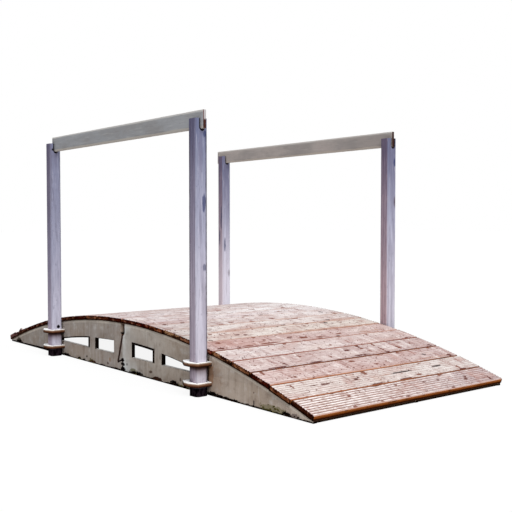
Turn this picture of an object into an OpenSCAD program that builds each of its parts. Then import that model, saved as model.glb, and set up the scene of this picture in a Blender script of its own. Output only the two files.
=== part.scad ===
// Horse obstacle bridge: a ground-standing arched bridge in two halves that
// hook together at the crown, with four loose posts carrying two rails.
// +X runs along the bridge, +Y across it, +Z up. The floor is z = 0.
// "half a" is the +X half, "half b" the -X half.

/* [Arch] */
// Length of the side panels along the floor
bridge_length = 3240; // [2400:10:4400]
// Height of the panel top edge at the crown
crown_height = 281; // [220:1:340]
// Height of a panel's outer end above the floor
tip_height = 10; // [3:1:16]
// Plywood thickness of panels and collars
ply = 21; // [12:1:27]
// Distance between the outer faces of the two side panels
frame_width = 1354; // [900:2:1800]

/* [Deck] */
// Thickness of a board over its ridges
board_thickness = 26; // [20:0.5:40]
// Open joint between two boards
board_gap = 5; // [2:0.5:12]
// How far the boards reach past each side panel
board_overhang = 7; // [0:1:20]
// Ridges planed into each board
ridges = 8; // [4:1:10]
// Depth of the grooves between ridges
groove_depth = 3; // [1:0.5:5]
// Flat margin between the outer ridges and the board's edges
ridge_margin = 2; // [1:0.5:6]

/* [Hand holes] */
// Height of the sill above the floor
sill = 94; // [60:1:140]
// Plywood left between a hand hole and the top edge
hole_cover = 110; // [60:1:140]
// Start of the inner hole, measured from the crown
inner_start = 104; // [80:1:160]
// End of the inner hole
inner_end = 326; // [250:1:380]
// Start of the outer hole
outer_start = 426; // [390:1:480]
// End of the outer hole
outer_end = 800; // [600:1:840]

/* [Hook joint] */
// Reach of the hook into the other half
hook_reach = 48; // [30:1:80]
// Height of the hook tip above the floor
hook_height = 52; // [30:1:70]
// Rise of the hook's seat from its tip to the joint line
hook_rise = 18; // [0:1:30]
// Flat that blunts the hook tip
hook_blunt = 9; // [4:1:15]
// Height where the slanted edge starts
slant_top = 209; // [150:1:230]
// Open line left between the two halves
joint_gap = 7; // [2:0.5:9]
// Width of the lifting notch at the crown
notch_width = 46; // [30:1:70]

/* [Posts and rails] */
// Side of the square post
post_side = 73; // [45:1:100]
// Chamfer on the four post corners
post_chamfer = 12; // [3:1:18]
// Height of the post above the floor
post_height = 1374; // [900:5:1700]
// Distance of the near post of half a from the crown
post_near_a = 829; // [700:1:1100]
// Distance of the near post of half b from the crown
post_near_b = 803; // [700:1:1100]
// Distance of the far post of half a from the crown
post_far_a = 781; // [700:1:1100]
// Distance of the far post of half b from the crown
post_far_b = 888; // [700:1:1100]
// Air between a post and the side panel
post_air = 8; // [7:0.5:20]
// Height of a rail on edge
rail_height = 91; // [60:1:120]
// Thickness of a rail
rail_thickness = 18; // [9:1:27]
// How far the near rail reaches past its post in half a
overrun_near_a = 22; // [-40:1:60]
// How far it reaches past its post in half b, less than 0 inside the slot
overrun_near_b = -40; // [-40:1:60]
// How far the far rail reaches past its post in half a
overrun_far_a = 1; // [-40:1:60]
// How far it reaches past its post in half b
overrun_far_b = 35; // [-40:1:60]
// Width of the round-bottomed slot in a post
slot_width = 28; // [20:1:40]
// Depth of the slot to its lowest point
slot_depth = 55; // [30:1:80]

/* [Collars] */
// Width of a collar against the panel
collar_width = 136; // [110:1:200]
// Rim of plywood outside the post
collar_rim = 27; // [20:1:50]
// Height of the lower collar's top face
collar_low = 70; // [45:1:85]
// How far the upper collars' top faces lie under the deck above the outermost one
collar_high = 13.3724; // [5:0.0001:60]
// Width of the collar's flat nose
collar_nose = 42; // [10:1:80]
// How far the nose stands out from the straight sides
collar_taper = 24; // [10:1:30]
// How far the middle of a collar lies off its post, towards half b
collar_shift = 15; // [0:1:20]
// Play around a post in its collars, each side
post_play = 0.5; // [0.2:0.1:0.8]

/* [Cross battens] */
// Width of a batten along the bridge
batten_width = 45; // [30:1:70]
// Height of a batten
batten_height = 45; // [30:1:90]

/* [Hidden] */
// One board node each, counted from the crown.
boards_per_half = 11;
// Air under a board and a rail and over a batten.
seat = 0.2;
// Spare length by which a cutter or a joined shape passes a face.
spare = 1;
half_length = bridge_length / 2;
half_width = frame_width / 2;
rise = crown_height - tip_height;
arch_radius = (pow(half_length, 2) + pow(rise, 2)) / (2 * rise);
arch_centre = crown_height - arch_radius;
pitch_angle = asin(half_length / arch_radius) / boards_per_half;
board_width = arch_radius * pitch_angle * PI / 180 - board_gap;
board_length = frame_width + 2 * board_overhang;
ridge_pitch = (board_width - 2 * ridge_margin) / ridges;
ridge_radius = (pow(ridge_pitch / 2, 2) + pow(groove_depth, 2)) / (2 * groove_depth);
bay = (frame_width - 3 * ply) / 2;
post_y = half_width + post_air + post_side / 2;
// Distance from the crown to the outermost end of any collar.
collar_end = max(max(post_near_a, post_far_a) - collar_shift,
                 max(post_near_b, post_far_b) + collar_shift) + collar_width / 2;
collar_top = arch_centre + sqrt(pow(arch_radius, 2) - pow(collar_end, 2)) - collar_high;
slot_radius = slot_width / 2;
slot_floor = post_height - slot_depth;
// A rail stands with its two lower edges on the round floor of the slot.
rail_floor = slot_floor + slot_radius - sqrt(pow(slot_radius, 2) - pow(rail_thickness / 2, 2)) + seat;
// Distance of each rail's ends from the crown.
near_end_a = post_near_a + post_side / 2 + overrun_near_a;
near_end_b = post_near_b + post_side / 2 + overrun_near_b;
far_end_a = post_far_a + post_side / 2 + overrun_far_a;
far_end_b = post_far_b + post_side / 2 + overrun_far_b;

// Underside of the hook, a straight line from its tip to the joint line.
function seat_height(x) = hook_height + hook_rise * (1 + x / hook_reach);

larch = [0.80, 0.70, 0.64];
grey_ply = [0.58, 0.54, 0.50];
post_grey = [0.63, 0.61, 0.68];
batten_brown = [0.45, 0.30, 0.20];

// ---- deck boards -------------------------------------------------------

// Grooved board seen from its end, lying on y = 0.
module board_profile() {
    intersection() {
        translate([-board_width / 2, 0]) square([board_width, board_thickness]);
        union() {
            translate([-board_width / 2, 0])
                square([board_width, board_thickness - 2 * groove_depth]);
            for (i = [0 : ridges - 1])
                translate([(i - (ridges - 1) / 2) * ridge_pitch, board_thickness - ridge_radius])
                    circle(r = ridge_radius, $fn = 96);
        }
    }
}

// Board number n counted from the crown, side = 1 for half a, -1 for half b.
module board(n, side) {
    color(larch)
    translate([0, 0, arch_centre])
    rotate([0, side * (n - 0.5) * pitch_angle, 0])
    translate([0, board_length / 2, arch_radius + seat])
    rotate([90, 0, 0])
    linear_extrude(board_length) board_profile();
}

// ---- side panels -------------------------------------------------------

// Everything under a circle concentric with the arch, depth below its top edge.
module under_arch(depth) {
    translate([0, arch_centre]) circle(r = arch_radius - depth, $fn = 1440);
}

module hand_hole(from, to) {
    intersection() {
        under_arch(hole_cover);
        translate([from, sill]) square([to - from, crown_height]);
    }
}

module lifting_notch() {
    notch_radius = notch_width / 2;
    translate([0, slant_top + notch_radius + spare]) {
        circle(r = notch_radius, $fn = 64);
        translate([-notch_radius, 0]) square([notch_width, crown_height]);
    }
}

// The part of the joint where half a reaches over to half b. The gap opens
// the slanted edge and the tip; the seat under the hook stays closed.
module hook(gap) {
    tip = -hook_reach - gap;
    polygon([[spare, slant_top], [-gap, slant_top], [tip, hook_height + hook_blunt],
             [tip, seat_height(tip)], [spare, seat_height(spare)]]);
}

// Outline of a half panel before the joint is cut.
module half_outline() {
    difference() {
        intersection() {
            under_arch(0);
            square([half_length, crown_height]);
        }
        hand_hole(inner_start, inner_end);
        hand_hole(outer_start, outer_end);
    }
}

module outline_a() {
    difference() {
        union() {
            half_outline();
            hook(0);
        }
        lifting_notch();
    }
}

module outline_b() {
    difference() {
        mirror([1, 0]) half_outline();
        translate([-joint_gap, 0]) square([joint_gap + spare, crown_height + spare]);
        hook(joint_gap);
        lifting_notch();
    }
}

// One plywood panel standing on the floor, its near face at y.
module panel(y, half) {
    color(grey_ply)
    translate([0, y + ply, 0])
    rotate([90, 0, 0])
    linear_extrude(ply) {
        if (half == "a") outline_a();
        else outline_b();
    }
}

// ---- cross battens at the joint ----------------------------------------

module battens(side) {
    near_x = side > 0 ? joint_gap : -joint_gap - batten_width;
    top = arch_centre + sqrt(pow(arch_radius, 2) - pow(joint_gap + batten_width, 2)) - seat;
    color(batten_brown)
    for (start = [-half_width + ply, ply / 2])
        translate([near_x, start, top - batten_height])
            cube([batten_width, bay, batten_height]);
}

// ---- posts and collars -------------------------------------------------

module chamfered_square(side, cut) {
    h = side / 2;
    polygon([[h - cut, -h], [h, cut - h], [h, h - cut], [h - cut, h],
             [cut - h, h], [-h, h - cut], [-h, cut - h], [cut - h, -h]]);
}

// Slot along the bridge with a round floor, open at the top of the post.
module rail_slot() {
    translate([-post_side, 0, slot_floor + slot_radius]) {
        rotate([0, 90, 0]) cylinder(r = slot_radius, h = 2 * post_side, $fn = 48);
        translate([0, -slot_radius, 0]) cube([2 * post_side, slot_width, slot_depth]);
    }
}

module post(x, y) {
    color(post_grey)
    translate([x, y, 0])
    difference() {
        linear_extrude(post_height) chamfered_square(post_side, post_chamfer);
        rail_slot();
    }
}

// Collar outline: panel face on y = 0, reaching out along +y.
module collar_outline() {
    w = collar_width / 2;
    reach = post_air + post_side + collar_rim;
    difference() {
        polygon([[-w, 0], [w, 0], [w, reach - collar_taper], [collar_nose / 2, reach],
                 [-collar_nose / 2, reach], [-w, reach - collar_taper]]);
        translate([collar_shift, post_air + post_side / 2])
            square(post_side + 2 * post_play, center = true);
    }
}

// The two collars of the post that stands at x.
module collars(x, side) {
    color(grey_ply)
    for (top = [collar_low, collar_top])
        translate([x - collar_shift, side * half_width, top - ply])
            linear_extrude(ply)
            if (side > 0) collar_outline();
            else mirror([0, 1]) collar_outline();
}

// ---- rails -------------------------------------------------------------

// One rail on edge, its ends so far from the crown in half a and half b.
module rail(side, end_a, end_b) {
    color(grey_ply)
    translate([-end_b, side * post_y - rail_thickness / 2, rail_floor])
        cube([end_a + end_b, rail_thickness, rail_height]);
}

board(1, 1);  // board_a01
board(2, 1);  // board_a02
board(3, 1);  // board_a03
board(4, 1);  // board_a04
board(5, 1);  // board_a05
board(6, 1);  // board_a06
board(7, 1);  // board_a07
board(8, 1);  // board_a08
board(9, 1);  // board_a09
board(10, 1);  // board_a10
board(11, 1);  // board_a11
board(1, -1);  // board_b01
board(2, -1);  // board_b02
board(3, -1);  // board_b03
board(4, -1);  // board_b04
board(5, -1);  // board_b05
board(6, -1);  // board_b06
board(7, -1);  // board_b07
board(8, -1);  // board_b08
board(9, -1);  // board_b09
board(10, -1);  // board_b10
board(11, -1);  // board_b11
panel(-half_width, "a");  // panel_a_near
panel(-ply / 2, "a");  // panel_a_middle
panel(half_width - ply, "a");  // panel_a_far
panel(-half_width, "b");  // panel_b_near
panel(-ply / 2, "b");  // panel_b_middle
panel(half_width - ply, "b");  // panel_b_far
battens(1);  // battens_a
battens(-1);  // battens_b
post(post_near_a, -post_y);  // post_a_near
post(post_far_a, post_y);  // post_a_far
post(-post_near_b, -post_y);  // post_b_near
post(-post_far_b, post_y);  // post_b_far
collars(post_near_a, -1);  // collars_a_near
collars(post_far_a, 1);  // collars_a_far
collars(-post_near_b, -1);  // collars_b_near
collars(-post_far_b, 1);  // collars_b_far
rail(-1, near_end_a, near_end_b);  // rail_near
rail(1, far_end_a, far_end_b);  // rail_far
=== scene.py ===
# %% [markdown]
# # A horse obstacle bridge in two halves
# Two arched plywood frames hook together at the crown. Ribbed larch boards
# make the deck, four loose posts stand in plywood collars, and a plywood rail
# lies in the slots of each pair of posts. The sizes are fixed by the CAD
# model, which is loaded first. Everything below gives its pieces their worn
# timber shapes and their finishes, in the same frame, in metres.

# %% Load the fixed frame
import math
import random

import bmesh
import bpy
from mathutils import Euler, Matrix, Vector


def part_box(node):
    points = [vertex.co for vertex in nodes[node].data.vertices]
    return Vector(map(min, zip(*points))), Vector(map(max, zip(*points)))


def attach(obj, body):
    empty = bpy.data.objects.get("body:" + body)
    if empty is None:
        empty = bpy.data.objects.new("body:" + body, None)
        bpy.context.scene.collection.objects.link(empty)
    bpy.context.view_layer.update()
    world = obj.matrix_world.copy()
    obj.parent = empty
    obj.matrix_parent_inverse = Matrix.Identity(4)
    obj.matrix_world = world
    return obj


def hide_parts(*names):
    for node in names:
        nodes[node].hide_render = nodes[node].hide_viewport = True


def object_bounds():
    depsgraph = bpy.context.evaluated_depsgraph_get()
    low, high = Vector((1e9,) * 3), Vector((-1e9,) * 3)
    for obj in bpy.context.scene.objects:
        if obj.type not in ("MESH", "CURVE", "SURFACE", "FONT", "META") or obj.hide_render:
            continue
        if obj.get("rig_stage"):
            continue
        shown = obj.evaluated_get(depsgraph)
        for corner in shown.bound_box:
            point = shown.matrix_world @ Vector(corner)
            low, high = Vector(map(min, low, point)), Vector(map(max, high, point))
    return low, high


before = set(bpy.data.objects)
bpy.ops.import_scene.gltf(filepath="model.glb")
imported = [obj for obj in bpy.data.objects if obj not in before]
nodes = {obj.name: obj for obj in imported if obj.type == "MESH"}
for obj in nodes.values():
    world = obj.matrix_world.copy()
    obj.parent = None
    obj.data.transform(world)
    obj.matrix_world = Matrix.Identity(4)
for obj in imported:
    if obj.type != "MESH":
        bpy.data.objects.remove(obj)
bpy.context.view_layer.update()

# %% [markdown]
# ## Camera
# The bridge is seen from a little above a rider's knee, about five metres
# away from its near right corner. A 58 mm lens on a 36 mm sensor gives that
# narrow view, level from side to side.

# %% Camera
CAMERA_PLACE = Vector((4.17258, -3.05607, 0.85117))
CAMERA_AHEAD = Vector((-0.777040, 0.628309, -0.037913))

camera = bpy.data.objects.new("camera", bpy.data.cameras.new("camera"))
bpy.context.scene.collection.objects.link(camera)
camera.location = CAMERA_PLACE
camera.rotation_euler = CAMERA_AHEAD.to_track_quat("-Z", "Y").to_euler()
camera.data.sensor_width = 36.0
camera.data.lens = 57.717
camera.data.clip_end = 200.0
bpy.context.scene.camera = camera
print("camera at", tuple(round(v, 3) for v in camera.location))

# %% [markdown]
# ## Sky
# The studio is pale and plain. A white world would light the bridge too
# strongly and wash out its shadows, so the world is two skies in one: dim
# and even for the bridge, white for the camera and for reflections.

# %% Sky
SKY_LEVEL = 0.50
SKY_TINT = (0.96, 0.98, 1.0, 1.0)
WHITE = (1.0, 1.0, 1.0, 1.0)

scene = bpy.context.scene
scene.view_settings.view_transform = "Standard"


def seen_directly(tree, *rays):
    """A value of 1 for camera rays and for the other named rays."""
    path = tree.nodes.new("ShaderNodeLightPath")
    value = path.outputs["Is Camera Ray"]
    for ray in rays:
        most = tree.nodes.new("ShaderNodeMath")
        most.operation = "MAXIMUM"
        tree.links.new(value, most.inputs[0])
        tree.links.new(path.outputs[ray], most.inputs[1])
        value = most.outputs[0]
    return value


def plain(tree, kind, colour):
    """A background, diffuse or emission shader of one colour."""
    made = tree.nodes.new("ShaderNode" + kind)
    made.inputs["Color"].default_value = colour
    return made.outputs[0]


def blend(tree, share, first, second):
    """The first shader where share is 0 and the second where it is 1."""
    mixer = tree.nodes.new("ShaderNodeMixShader")
    if isinstance(share, float):
        mixer.inputs["Fac"].default_value = share
    else:
        tree.links.new(share, mixer.inputs["Fac"])
    tree.links.new(first, mixer.inputs[1])
    tree.links.new(second, mixer.inputs[2])
    return mixer.outputs[0]


world = bpy.data.worlds.new("pale_studio")
scene.world = world
world.use_nodes = True
tree = world.node_tree
sky = tree.nodes["Background"]
sky.inputs["Color"].default_value = SKY_TINT
sky.inputs["Strength"].default_value = SKY_LEVEL
shown = seen_directly(tree, "Is Glossy Ray", "Is Transmission Ray")
tree.links.new(blend(tree, shown, sky.outputs[0], plain(tree, "Background", WHITE)),
               tree.nodes["World Output"].inputs["Surface"])

print("sky ready:", SKY_LEVEL)

# %% [markdown]
# ## Floor and lamp
# The floor is one wide plane, so that no edge shows against the sky. Its own
# colour is a middle grey for the light that it throws back on the bridge,
# and nearly white where the camera sees it, with the soft shadow left in.
# One broad sun from the +X side models the faces, so that each post has a
# light and a dark side.

# %% Floor and lamp
FLOOR_SIZE = 160.0
FLOOR_GREY = (0.50, 0.50, 0.51, 1.0)
FLOOR_WHITENESS = 0.90
SUN_STRENGTH, SUN_WIDTH = 2.75, 50
SUN_WAY = Vector((-0.90, 0.22, -0.98))

bpy.ops.object.select_all(action="DESELECT")
bpy.ops.mesh.primitive_plane_add(size=FLOOR_SIZE, location=(0.0, 0.0, 0.0))
floor = bpy.context.active_object
floor.name = "floor"
paper = bpy.data.materials.new("floor_paper")
paper.use_nodes = True
tree = paper.node_tree
tree.nodes.remove(tree.nodes["Principled BSDF"])
pale = blend(tree, FLOOR_WHITENESS, plain(tree, "BsdfDiffuse", WHITE), plain(tree, "Emission", WHITE))
grey = plain(tree, "BsdfDiffuse", FLOOR_GREY)
tree.links.new(blend(tree, seen_directly(tree, "Is Glossy Ray"), grey, pale),
               tree.nodes["Material Output"].inputs["Surface"])
floor.data.materials.append(paper)
floor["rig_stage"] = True

sun = bpy.data.objects.new("broad_key", bpy.data.lights.new("broad_key", "SUN"))
sun.data.energy = SUN_STRENGTH
sun.data.angle = math.radians(SUN_WIDTH)
sun.rotation_euler = SUN_WAY.to_track_quat("-Z", "Y").to_euler()
scene.collection.objects.link(sun)
print("floor and lamp ready:", floor.name, sun.name)

# %% [markdown]
# ## Small helpers for modelling
# Every piece starts from a primitive at its size and place. Edit mode then
# shapes it, with faces and edges chosen by where they are. Helpers keep the
# steps that always come together in one line: deselect, add and bake the
# place into the mesh, or choose and then cut, move or press flat.

# %% Modelling helpers
def only(piece):
    """Leave edit mode, select one object alone and make it the active one."""
    if bpy.context.mode != "OBJECT":
        bpy.ops.object.mode_set(mode="OBJECT")
    bpy.ops.object.select_all(action="DESELECT")
    piece.select_set(True)
    bpy.context.view_layer.objects.active = piece


def settle(piece):
    """Bake the object's place, turn and scale into its mesh."""
    only(piece)
    bpy.ops.object.transform_apply(location=True, rotation=True, scale=True)


def block(name, size, centre):
    """A box of the given size, as the start of a piece."""
    bpy.ops.object.select_all(action="DESELECT")
    bpy.ops.mesh.primitive_cube_add(size=1.0, location=centre)
    piece = bpy.context.active_object
    piece.name = name
    piece.scale = size
    settle(piece)
    return piece


def choose_where(piece, kind, test):
    """In edit mode, select the vertices, edges or faces that pass the test."""
    if bpy.context.mode != "EDIT_MESH":
        only(piece)
        bpy.ops.object.mode_set(mode="EDIT")
    bpy.ops.mesh.select_mode(type=kind)
    bpy.ops.mesh.select_all(action="DESELECT")
    shell = bmesh.from_edit_mesh(piece.data)
    parts = {"VERT": shell.verts, "EDGE": shell.edges, "FACE": shell.faces}[kind]
    for part in parts:
        part.select = bool(test(part))
    shell.select_flush_mode()
    bmesh.update_edit_mesh(piece.data)


def runs_along(axis):
    """A test for edges that lie along X, Y or Z (axis 0, 1 or 2)."""
    def test(edge):
        way = edge.verts[1].co - edge.verts[0].co
        return abs(way[axis]) > 0.999 * way.length
    return test


def cut_lengths(piece, axis, cuts):
    """Cut a piece across one axis, in edit mode, by dividing the edges along it."""
    choose_where(piece, "EDGE", runs_along(axis))
    bpy.ops.mesh.subdivide(number_cuts=cuts)


def move_where(piece, test, x, y, z):
    """Move the vertices that pass the test."""
    choose_where(piece, "VERT", test)
    bpy.ops.transform.translate(value=(x, y, z))


def press_where(piece, test, scale, centre):
    """Scale the vertices that pass the test about a centre; 0 presses them flat."""
    choose_where(piece, "VERT", test)
    bpy.ops.transform.resize(value=scale, center_override=centre)


def apply_modifier(piece, kind, **settings):
    """Add one modifier, set it and apply it to the mesh."""
    only(piece)
    modifier = piece.modifiers.new(kind.lower(), kind)
    for key, value in settings.items():
        setattr(modifier, key, value)
    bpy.ops.object.modifier_apply(modifier=modifier.name)


def ease_edges(piece, width, segments=2):
    """Round the edges sharper than 40 degrees."""
    apply_modifier(piece, "BEVEL", width=width, segments=segments, limit_method="ANGLE",
                   angle_limit=math.radians(40), use_clamp_overlap=True)


def roughen(piece, texture, strength, middle=0.5, way="NORMAL", space="GLOBAL"):
    """Push the surface in and out by a noise texture."""
    apply_modifier(piece, "DISPLACE", texture=texture, texture_coords=space, direction=way,
                   strength=strength, mid_level=middle)


def cloud(name, size, depth=2):
    """A soft noise texture for the Displace modifier."""
    texture = bpy.data.textures.new(name, "CLOUDS")
    texture.noise_scale = size
    texture.noise_depth = depth
    return texture


def twin(piece, name):
    """A copy of a piece with its own mesh."""
    copy = piece.copy()
    copy.data = piece.data.copy()
    copy.name = name
    scene.collection.objects.link(copy)
    return copy


def finish_piece(piece, paint, slot, *replaced, angle=None):
    """Smooth a piece, give it its finish and body, and hide the nodes it replaces."""
    if angle:
        only(piece)
        bpy.ops.object.shade_smooth_by_angle(angle=math.radians(angle))
    piece.data.materials.clear()
    piece.data.materials.append(paint)
    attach(piece, "root")
    if replaced:
        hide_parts(*replaced)


wear_fine = cloud("wear_fine", 0.014)
wear_broad = cloud("wear_broad", 0.32, 1)
print("modelling helpers ready")

# %% [markdown]
# ## Values on a surface
# A finish is a tree of nodes, and its wires are hard to follow in code. So a
# Value stands for what one socket gives at every point of a surface: a
# number, a place or a colour. Plus, minus, times and the like add Math
# nodes, and each pattern that grows from a place has a short call.

# %% Values on a surface
def maths(operation):
    """A method of Value that adds one Math node."""
    return lambda self, other=None: self.finish.node("Math", 0, {0: self, 1: other}, operation=operation)


class Value:
    """What a socket gives at each point: a number, a place or a colour."""

    def __init__(self, finish, socket):
        self.finish, self.socket = finish, socket

    __add__, __sub__, __mul__, __pow__ = maths("ADD"), maths("SUBTRACT"), maths("MULTIPLY"), maths("POWER")
    __gt__, __lt__, __abs__ = maths("GREATER_THAN"), maths("LESS_THAN"), maths("ABSOLUTE")
    or_more, or_less = maths("MAXIMUM"), maths("MINIMUM")

    def __rsub__(self, other):
        return self.finish.node("Math", 0, {0: other, 1: self}, operation="SUBTRACT")

    def part(self):
        return [self.finish.node("SeparateXYZ", axis, {0: self}) for axis in range(3)]

    def stretch(self, x, y, z, move=(0.0, 0.0, 0.0)):
        return self.finish.node("Mapping", 0, {"Vector": self, "Scale": (x, y, z), "Location": move})

    def noise(self, scale, detail=3.0, rough=0.55):
        return self.finish.node("TexNoise", "Fac", {
            "Vector": self, "Scale": scale, "Detail": detail, "Roughness": rough})

    def bands(self, scale, twist=3.0, detail=2.0, axis="X"):
        return self.finish.node("TexWave", "Fac", {
            "Vector": self, "Scale": scale, "Distortion": twist,
            "Detail": detail, "Detail Scale": 1.0}, bands_direction=axis)

    def cells(self, scale, output="Distance"):
        return self.finish.node("TexVoronoi", output, {"Vector": self, "Scale": scale})

    def between(self, low, high, most=1.0, least=0.0):
        """least at low, most at high, smooth in between; high may be the lower one."""
        if low > high:
            low, high, least, most = high, low, most, least
        return self.finish.node("MapRange", 0, {
            "Value": self, "From Min": low, "From Max": high,
            "To Min": least, "To Max": most}, interpolation_type="SMOOTHSTEP")

    def near(self, centre, size, ragged, soft=0.6):
        """1 inside an ellipsoid about centre, 0 outside; ragged shifts its rim."""
        move = tuple(-value / width for value, width in zip(centre, size))
        inside = self.stretch(*(1.0 / width for width in size), move)
        far = self.finish.node("VectorMath", "Value", {0: inside}, operation="LENGTH")
        return (far + ragged).between(1.0, soft)


print("patterns:", [name for name in vars(Value) if not name.startswith("_")])

# %% [markdown]
# ## Coats of colour
# A timber then reads as a recipe: a colour, streaks over it, knots over
# those. Every pattern reads Object coordinates or an attribute that a piece
# carries, so it stays put when the view changes. The surface is quite matt,
# so the shader's own shine is turned off.

# %% Finish helpers
def rgb(red, green, blue):
    """A colour given as on a paint chart, 0 to 255, made linear."""
    def linear(value):
        value /= 255.0
        return value / 12.92 if value <= 0.04045 else ((value + 0.055) / 1.055) ** 2.4
    return (linear(red), linear(green), linear(blue), 1.0)


class Finish:
    """A material; colour is what has been laid on so far."""

    def __init__(self, name, roughness):
        self.material = bpy.data.materials.new(name)
        self.material.use_nodes = True
        self.tree = self.material.node_tree
        self.shader = self.tree.nodes["Principled BSDF"]
        self.shader.inputs["Roughness"].default_value = roughness
        self.shader.inputs["Specular IOR Level"].default_value = 0.0
        self.colour = None

    def node(self, kind, output, inputs, **settings):
        """Add a node and set or link its inputs."""
        made = self.tree.nodes.new("ShaderNode" + kind)
        for key, value in settings.items():
            setattr(made, key, value)
        for key, value in inputs.items():
            if isinstance(value, Value):
                self.tree.links.new(value.socket, made.inputs[key])
            elif value is not None:
                made.inputs[key].default_value = value
        return Value(self, made.outputs[output])

    def place(self):
        return self.node("TexCoord", "Object", {})

    def attribute(self, name, output="Fac"):
        return self.node("Attribute", output, {}, attribute_name=name)

    def facing(self, axis, low=0.5, high=0.8):
        """1 on faces that look along an axis, either way."""
        return abs(self.node("NewGeometry", "Normal", {}).part()[axis]).between(low, high)

    def mix(self, mask, under, over, way="MIX"):
        """The colour over laid on the colour under, where the mask is."""
        under, over = (rgb(*tone) if isinstance(tone, tuple) else tone for tone in (under, over))
        return self.node("Mix", 2, {0: mask, 6: under, 7: over}, data_type="RGBA", blend_type=way)

    def coats(self, under, *coats):
        """Coats of colour, each with its mask, laid one over another."""
        for mask, over in coats:
            under = self.mix(mask, under, over)
        return under

    def stain(self, mask, over):
        """Lay a colour over the finish so far."""
        self.colour = self.mix(mask, self.colour, over)

    def shade(self, mask, tone):
        """Darken the finish so far by multiplying in a tone, for painted shade."""
        self.stain(mask, self.mix(1.0, self.colour, tone, "MULTIPLY"))

    def ramp(self, value, *stops):
        """A colour that follows a value from stop to stop."""
        made = self.tree.nodes.new("ShaderNodeValToRGB")
        self.tree.links.new(value.socket, made.inputs[0])
        steps = made.color_ramp.elements
        while len(steps) < len(stops):
            steps.new(0.5)
        for step, (position, tone) in zip(steps, stops):
            step.position = position
            step.color = rgb(*tone)
        return Value(self, made.outputs[0])

    def done(self, relief, depth):
        """Join the colour and a bump to the shader."""
        self.tree.links.new(self.colour.socket, self.shader.inputs["Base Color"])
        bump = self.node("Bump", 0, {"Height": relief, "Distance": depth, "Strength": 1.0})
        self.tree.links.new(bump.socket, self.shader.inputs["Normal"])
        return self.material


print("finish helpers ready")

# %% [markdown]
# ## Larch for the deck
# Larch is a pink-brown softwood. Out of doors the crests of the ribs bleach
# and wear pale, while dirt and tannin stay red-brown in the grooves; the
# crests also carry a painted highlight and the grooves painted shade. Each
# board was cut from another place in the log, so each has its own tint, and
# grain, knots and short brown dashes run along it. The end grain drinks
# water and goes nearly black-brown, and painted shade darkens the low part
# of the boards' sides and the lower edge of their sawn ends. The pattern
# follows the board, so it is driven by an attribute that holds the place on
# the flat, unturned board.

# %% Larch
BOARD_THICK = 0.026
BOARD_LONG = 1.368
BOARD_WIDE = 0.145
BOARD_KNOTS = 9.0


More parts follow.
